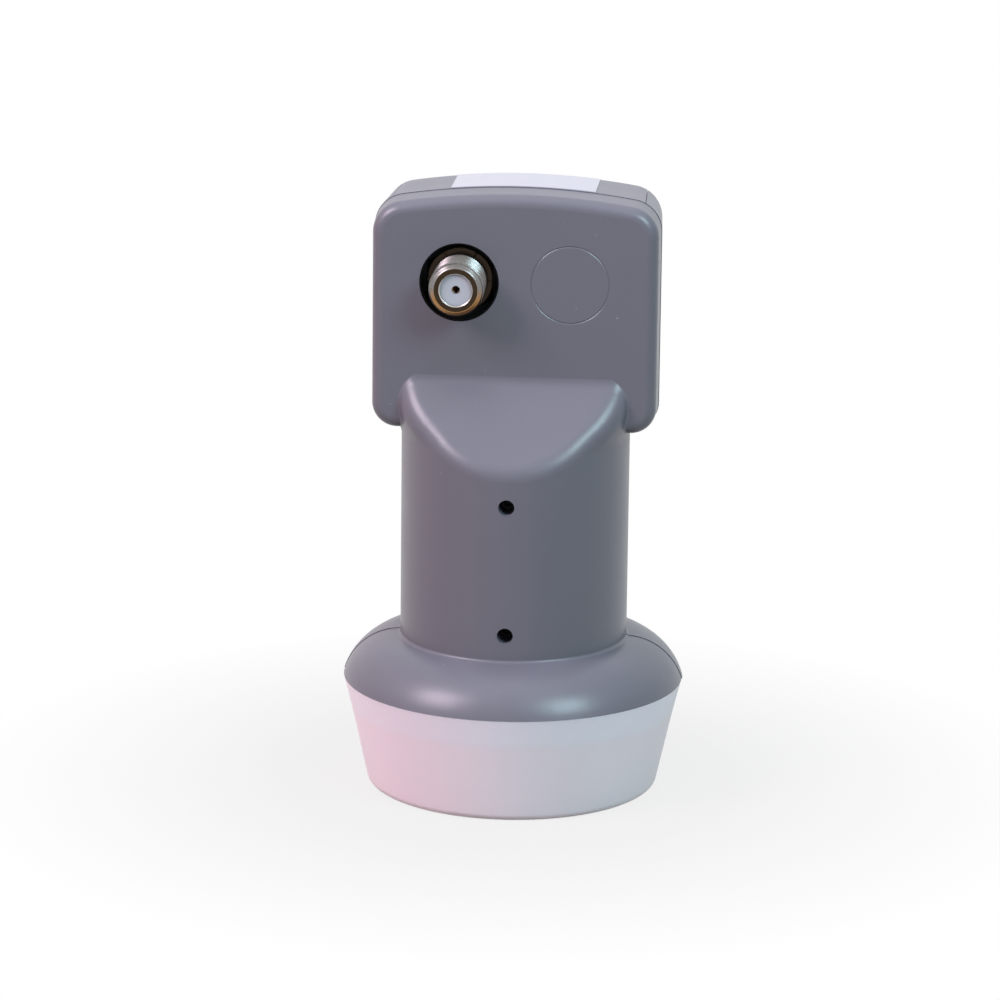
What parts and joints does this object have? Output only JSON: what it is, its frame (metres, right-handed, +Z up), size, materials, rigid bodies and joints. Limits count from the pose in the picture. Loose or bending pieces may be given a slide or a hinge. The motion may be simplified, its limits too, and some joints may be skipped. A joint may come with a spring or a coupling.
{
  "type": "satellite lnb",
  "caption": "Low-noise block for a satellite dish: round feed horn under a white cap, straight neck for a clamp, and a rounded box head with a threaded coaxial connector.",
  "frame": {"origin": "centre of the feed horn cap's flat face, at the bottom of the part", "axes": "+Z up along the neck's axis from the cap's face to the head, -Y the side that the connector faces, +X to the right as seen from that side"},
  "size_m": [0.0602, 0.06, 0.1071],
  "materials": {
    "shell_plastic": "satin",
    "cap_plastic": "satin, slightly translucent",
    "label_film": "semi-gloss film",
    "cast_metal": "as cast",
    "lid_metal": "rolled sheet",
    "screw_steel": "zinc plated",
    "seal_rubber": "matt",
    "absorber": "matt",
    "board_laminate": "satin",
    "probe_brass": "tinned",
    "bead_insulator": "satin",
    "rod_resistive": "matt",
    "chip_black": "matt",
    "crystal_metal": "bright",
    "coil_dark": "matt",
    "capacitor_tan": "satin",
    "nickel_plate": "bright nickel",
    "dielectric_white": "satin",
    "contact_bronze": "bright"
  },
  "bodies": {
    "root": {"front_shell": "shell_plastic", "rear_shell": "shell_plastic", "end_cover": "shell_plastic", "label": "label_film", "feedhorn_cap": "cap_plastic", "horn_seal_ring": "seal_rubber", "cast_body": "cast_metal", "tray_lid": "lid_metal", "lid_screws": "screw_steel", "absorber_pad": "absorber", "main_board": "board_laminate", "board_screws": "screw_steel", "vertical_probe": "probe_brass", "horizontal_probe": "probe_brass", "probe_beads": "bead_insulator", "isolation_rod": "rod_resistive", "amplifier_transistors": "chip_black", "converter_chip": "chip_black", "reference_crystal": "crystal_metal", "voltage_regulator": "chip_black", "supply_coil": "coil_dark", "board_capacitors": "capacitor_tan", "neck_screws": "screw_steel", "f_connector_shell": "nickel_plate", "f_connector_dielectric": "dielectric_white", "f_connector_contact": "contact_bronze", "connector_seal": "seal_rubber"}
  },
  "joints": []
}
